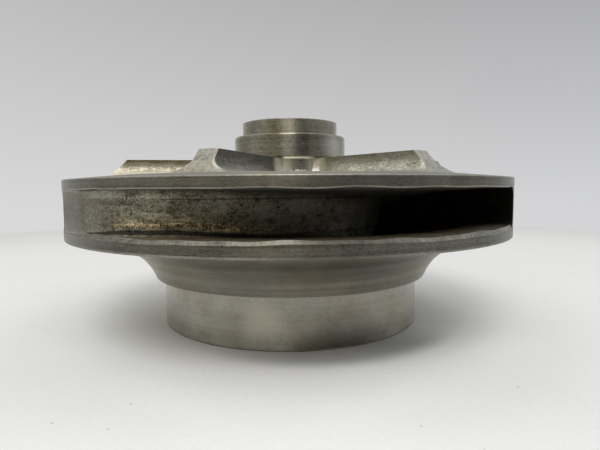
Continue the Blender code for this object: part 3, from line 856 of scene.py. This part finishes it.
def foot_spread(reach, rise, above):
    """How far a foot spreads at this height. Its fillet is a quarter of an ellipse, reach out and rise high:
    reach * (1 - sqrt(1 - d^2)), where d = 1 - height / rise, kept just under 1 so that it has an edge."""
    drop = np.clip(1 - above / rise, 0.0, FILLET_KEPT)
    return reach * (1 - np.sqrt(1 - drop**2))


# %% [markdown]
# The ribs on the back
#
# Six straight ribs keep grit away from the shaft seal. Their flanks are cast with big fillets, and then the
# lathe has cut their tops flat and their outer ends to a hollow ramp. So each rib is a cast block cut by a
# turned surface: it spreads towards the foot and shrinks in length towards the top. Three ribs show well: one
# is grey, one beige and one bronze, and some are lumpier than others. The rest repeat them. Their sharp
# edges are a little broken and shine.

# %% Ribs
RIB_LEVELS, RIB_STATIONS, RIB_COLUMNS = 26, 90, 14
LEVEL_CROWDING = 1.4
FULL_FILLET_FROM, LEAST_FILLET, ROOT_FILLET = 25 * MM, 0.35, 4.0 * MM
LEAST_START = 10 * MM
RIB_EDGE, RIB_EDGE_ANGLE = 0.4 * MM, radians(38.0)
FLANK, CUT, SHINE = 0, 1, 2


def rib_grid(azimuth, lumpy, seed):
    """Points of one rib. Half its width is half the web plus the foot's spread, and at each level it ends at
    the radius RIB_END + RAMP_LENGTH * (1 - level)^RAMP_HOLLOW, because a lathe cut it."""
    level = steps(RIB_LEVELS, 0) ** LEVEL_CROWDING
    station = steps(RIB_STATIONS, 1)
    column = steps(RIB_COLUMNS, 2, low=-1.0)
    rise = RIB_TOP - BACK_LAND_TOP
    end_radius = RIB_END + RAMP_LENGTH * (1 - level) ** RAMP_HOLLOW
    along = NECK_RADIUS - BURIED + (end_radius - NECK_RADIUS + BURIED) * station
    reach = RIB_FILLET_REACH * np.clip((along - NECK_RADIUS) / FULL_FILLET_FROM, LEAST_FILLET, 1.0)
    half = RIB_WIDTH / 2 + foot_spread(reach, RIB_FILLET_RISE, level * rise)
    half = half + foot_spread(ROOT_FILLET, ROOT_FILLET, along - NECK_RADIUS) * (level * rise > 0)
    flank = around(along, radians(azimuth) + 0 * column, BACK_LAND_TOP + level * rise)
    other_skin = np.array([0.0, 0.0, 40 * MM])  # so far apart that the two flanks have unlike lumps
    half = half + lumpy * cast_skin(flank + np.sign(column)[..., None] * other_skin, seed)
    across = column * half
    outer = np.sqrt(np.maximum(end_radius**2 - across**2, 0.0))
    inner = np.sqrt(np.maximum((NECK_RADIUS - BURIED) ** 2 - across**2, LEAST_START**2))
    along = inner + (outer - inner) * station
    radius = np.hypot(along, across)
    land = np.interp(radius, [BACK_LAND_RADIUS, RIM_RADIUS], [BACK_LAND_TOP, BACK_RIM_TOP]) - BURIED / 2
    return around(radius, radians(azimuth) + np.arctan2(across, along), land + (RIB_TOP - land) * level)


def break_edges(piece, finish):
    """Bevels every real edge a little, and gives the bevel this one of the piece's finishes."""
    bevel = piece.modifiers.new("broken edge", "BEVEL")
    bevel.limit_method, bevel.angle_limit = "ANGLE", RIB_EDGE_ANGLE
    bevel.width, bevel.segments, bevel.material = RIB_EDGE, 2, finish


RIB_LOOKS = [(GREY_RIB, 0.6), (BEIGE_RIB, 1.0), (BRONZE_RIB, 0.35)]
for number in range(RIB_COUNT):
    look_of_rib, lumpy = RIB_LOOKS[number % len(RIB_LOOKS)]
    rib = rib_grid(RIB_AZIMUTH + 360.0 * number / RIB_COUNT, lumpy, seed=100 + 7 * number)
    piece = block(f"finished_rib_{number + 1}", rib, [look_of_rib, RAMP_FINISH, BRIGHT_EDGE],
                  [FLANK, CUT, FLANK, CUT, FLANK, FLANK], f"pump_out_vane_{number + 1}")
    break_edges(piece, SHINE)

# %% [markdown]
# The main vanes
#
# Three thick blades lean backwards between the shrouds. The convex side of each follows a logarithmic
# spiral, which crosses every circle at the same angle, and the thickness is laid off square to it. Near
# both shrouds the section spreads into a fillet. At the tip the lathe has cut it flush with the rims.

# %% Main vanes
VANE_LEVELS, VANE_STATIONS, VANE_COLUMNS = 44, 240, 14
TIP_SETBACK = 0.1 * MM
TIP_CHAMFER = 2.0 * MM
TIP_ROUNDS = 12  # corrections, each of which brings the end of the vane closer to the rim
CHAMFER_SHAPE, CHAMFER_DEPTH, TIP_FADE = 1.5, 0.7, 2 * MM
OUTSIDE, TIP, LEE = 0, 1, 2


def vane_grid(azimuth):
    """Points of one vane. Its convex side is the spiral r = rim * e^(-slope * turn). Its thickness, less at
    the nose than at the tip, is laid off square to that, and the foot's spread is added on both sides."""
    slope, lean = tan(radians(VANE_ANGLE)), radians(VANE_ANGLE)
    up = 0.5 - 0.5 * np.cos(pi * steps(VANE_LEVELS, 0))
    station = steps(VANE_STATIONS, 1)
    share = steps(VANE_COLUMNS, 2)
    gap = OUTLET_TOP - OUTLET_BOTTOM
    foot = foot_spread(VANE_FILLET, VANE_FILLET, gap * np.minimum(up, 1 - up))
    nose_radius = VANE_NOSE_FRONT + (VANE_NOSE_BACK - VANE_NOSE_FRONT) * up
    nose_turn = np.log(RIM_RADIUS / VANE_NOSE_BACK) / slope
    body_turn = np.log(RIM_RADIUS / VANE_BODY_RADIUS) / slope

    def offset(turn):
        """Distance square to the spiral: the foot outside it on one side, thickness and foot inside on the
        other."""
        growth = np.clip(turn / nose_turn, 0.0, 1.0)
        thickness = VANE_TIP_THICKNESS + (VANE_NOSE_THICKNESS - VANE_TIP_THICKNESS) * growth
        return foot - share * (thickness + 2 * foot)

    def radial(turn):
        """Radius: the spiral's own, plus the part of the offset that points away from the shaft."""
        return RIM_RADIUS * np.exp(-slope * turn) + offset(turn) * cos(lean)

    chamfer = TIP_CHAMFER * (1 - share) ** CHAMFER_SHAPE
    cut = TIP_SETBACK + CHAMFER_DEPTH * np.maximum(chamfer - gap * np.minimum(up, 1 - up), 0.0)
    last = np.zeros_like(foot * share)
    for _ in range(TIP_ROUNDS):
        last = last + (radial(last) - (RIM_RADIUS - cut)) / (slope * RIM_RADIUS)
    rounding = VANE_NOSE_THICKNESS / 2 * (1 - np.sqrt(1 - (2 * share - 1) ** 2))
    first = np.log(RIM_RADIUS / nose_radius) / slope + (foot - rounding) / nose_radius
    inner_part = first + (body_turn - first) * station / VANE_NOSE_SHARE
    outer_part = body_turn + (last - body_turn) * (station - VANE_NOSE_SHARE) / (1 - VANE_NOSE_SHARE)
    turn = np.where(station < VANE_NOSE_SHARE, inner_part, outer_part)
    radius = radial(turn)
    angle = radians(azimuth) + turn + offset(turn) * sin(lean) / (RIM_RADIUS * np.exp(-slope * turn))
    low = np.interp(np.maximum(radius, THROAT_CLEAR), throat[:, 0], throat[:, 1]) - BURIED
    high = np.interp(radius, bell[::-1, 0], bell[::-1, 1]) + BURIED
    return around(radius, angle, low + (high - low) * up)


def rough_vane(grid, seed):
    """Moves the flanks in or out along the line through the blade by the cast skin, but not at the tip."""
    through = grid[:, :, -1:] - grid[:, :, :1]
    through /= np.linalg.norm(through, axis=-1, keepdims=True)
    side = 2 * steps(VANE_COLUMNS, 2) - 1
    skin = cast_skin(grid, seed) * np.abs(side) ** 3
    radius = np.hypot(grid[..., 0], grid[..., 1])
    inside = np.clip((RIM_RADIUS - radius) / TIP_FADE, 0, 1)
    return grid + through * (skin * np.sign(side) * inside)[..., None]


for number in range(VANE_COUNT):
    grid = rough_vane(vane_grid(VANE_TIP_AZIMUTH + 360.0 * number / VANE_COUNT), seed=300 + 7 * number)
    block(f"finished_main_vane_{number + 1}", grid, [PASSAGE_FINISH, TIP_FINISH, SHADED_PASSAGE_FINISH],
          [OUTSIDE, OUTSIDE, LEE, TIP, OUTSIDE, LEE], f"main_vane_{number + 1}")

# %% [markdown]
# Table, room and light
#
# The part stands on a white table with a pale wall behind. Bright steel shows the room that it stands in, so
# the room matters as much as the finish. The camera sees the world as the pale wall. Light and reflections
# see the room: going round, it is dark where the camera stands and pale elsewhere, with a small soft window
# high on the right, and above there is a bright ceiling. The table is a disc whose tone carries painted light
# and painted shadow.

# %% Table
TABLE_RADIUS = 0.75
PAINTED_LIGHT_SPOT_Y = -0.16
SHADE_X, SHADE_Y, SHADE_REACH = 10 * MM, -9 * MM, 14 * MM
PALEST = 0.95


def table_material():
    """Matt white with fine grain and a few dark specks. Its tone carries painted light and shadow: palest in
    a painted pool of light in front, paler still close beside and before the part as painted light, darker at
    the ring's foot as a painted shadow, and darker far out as painted falloff of light."""
    material, nodes, shader, place = start_material("white table")
    x, y, z = nodes.split(place)
    near, away = from_shaft(x, y), from_shaft(x, y - PAINTED_LIGHT_SPOT_Y)
    grain = 0.06 * (nodes.noise(place, scale=14.0, detail=8.0, roughness=0.75) - 0.5)
    grain = grain + 0.12 * (nodes.noise(place, scale=520.0, detail=3.0, roughness=0.7) - 0.5)
    grain = grain - 0.35 * nodes.step(nodes.noise(place, scale=240.0, detail=1.0), 0.76, 0.80)
    # Painted shadow: darker at the eye ring's foot, round a middle a little right of and before the shaft
    shade = from_shaft(x - SHADE_X, y - SHADE_Y)
    foot = nodes.step(shade, EYE_RING_RADIUS + SHADE_REACH, EYE_RING_RADIUS, 0.0, 0.45)
    foot = foot * nodes.step(y, -0.035, -0.07) * nodes.step(x, -0.06, 0.01)
    # Painted light: paler beside and before the part, which lightens its shadow there
    painted_light_beside = nodes.step(near, 0.14, 0.10) * nodes.step(y, -0.08, 0.0, 0.0, 0.15)
    before = nodes.step(near, 0.155, 0.115) * nodes.step(y, -0.03, -0.08, 0.0, 0.10)
    # Painted pool of light: palest round the bright spot in front, fading outwards
    tone = nodes.step(away, 0.0, 0.12, 0.945, 0.80) - nodes.step(away, 0.15, 0.40, 0.0, 0.035)
    tone = nodes.math("MINIMUM", tone + painted_light_beside + before, PALEST) + grain - foot
    # Painted falloff of light: darker far out
    tone = tone - nodes.step(near, 0.40, TABLE_RADIUS, 0.0, 0.10)
    nodes.feed(shader.inputs["Base Color"], nodes.join(tone, 0.998 * tone, tone))
    shader.inputs["Roughness"].default_value = 0.6
    return material


bpy.ops.mesh.primitive_circle_add(vertices=128, radius=TABLE_RADIUS, fill_type="NGON")
table = bpy.context.object
table.name = "table"
table.data.materials.append(table_material())

# %% Room
WARM, COOL, SKY = (1.0, 0.92, 0.66), (0.97, 0.99, 0.94), (0.94, 0.99, 1.02)
ROOM = [(-180, 0.68, COOL), (-150, 0.70, COOL), (-126, 0.70, COOL), (-104, 0.62, COOL), (-80, 0.65, COOL),
        (-50, 0.47, WARM), (-20, 0.33, WARM), (-4, 0.28, WARM), (6, 0.09, WARM), (18, 0.02, WARM),
        (47, 0.01, COOL), (60, 0.06, SKY), (75, 0.24, SKY), (92, 0.60, SKY), (108, 0.74, SKY),
        (126, 0.74, SKY), (150, 0.70, SKY), (180, 0.68, COOL)]
CEILING, BELOW = (1.06, 1.06, 1.0388), (0.03, 0.03, 0.03)
CEILING_FROM, CEILING_FULL = 0.40, 0.80  # heights of a direction, from 0 level to 1 straight up
WINDOW, WINDOW_TURN, WINDOW_RISE = (1.02, 1.06, 1.12), radians(63), radians(24)
WINDOW_STRENGTH, WINDOW_EDGE, WINDOW_CORE = 0.3, 0.86, 0.98

world = bpy.data.worlds.new("room")
bpy.context.scene.world = world
world.use_nodes = True
room = Nodes(world.node_tree)
x, y, z = room.split(room.node("TexCoord", out="Generated"))
turn = room.math("ARCTAN2", x, 0.0 - y) / (2 * pi) + 0.5
stops = [((azimuth + 180) / 360, [bright * c for c in tint]) for azimuth, bright, tint in ROOM]
walls = room.node("ValToRGB", {"stops": stops}, {0: turn})
facing = cos(WINDOW_RISE) * (sin(WINDOW_TURN) * x - cos(WINDOW_TURN) * y) + sin(WINDOW_RISE) * z
walls = room.mix(WINDOW_STRENGTH * room.step(facing, WINDOW_EDGE, WINDOW_CORE), walls, WINDOW)
light = room.mix(room.step(z, CEILING_FROM, CEILING_FULL), walls, CEILING)
light = room.mix(room.step(z, 0.0, -0.03), light, BELOW)
print("stops of the room:", len(stops))

# %% The pale wall that the camera sees, darker upwards and to the right
up = room.math("MAXIMUM", z, -0.04)
wall = 0.652 - 0.55 * up - 0.036 * x - 0.16 * up * x
seen_wall = room.join(wall + 0.003 - 0.012 * x, wall, wall + 0.0065 + 0.009 * x)
seen = room.node("LightPath", out="Is Camera Ray")
room.feed(world.node_tree.nodes["Background"].inputs["Color"], room.mix(seen, light, seen_wall))

# %% Soft light from above
LAMP_PLACE, LAMP_SIZE, LAMP_POWER = (-0.08, -0.90, 1.05), 0.7, 6.3
lamp = bpy.data.lights.new("soft_light", "AREA")
lamp.shape = "DISK"
lamp.size = LAMP_SIZE
lamp.energy = LAMP_POWER
soft_light = bpy.data.objects.new("soft_light", lamp)
toward_part = (-Vector(LAMP_PLACE)).to_track_quat("-Z", "Y").to_matrix().to_4x4()
soft_light.matrix_world = Matrix.Translation(LAMP_PLACE) @ toward_part
bpy.context.scene.collection.objects.link(soft_light)
bpy.context.scene.view_settings.view_transform = "Standard"
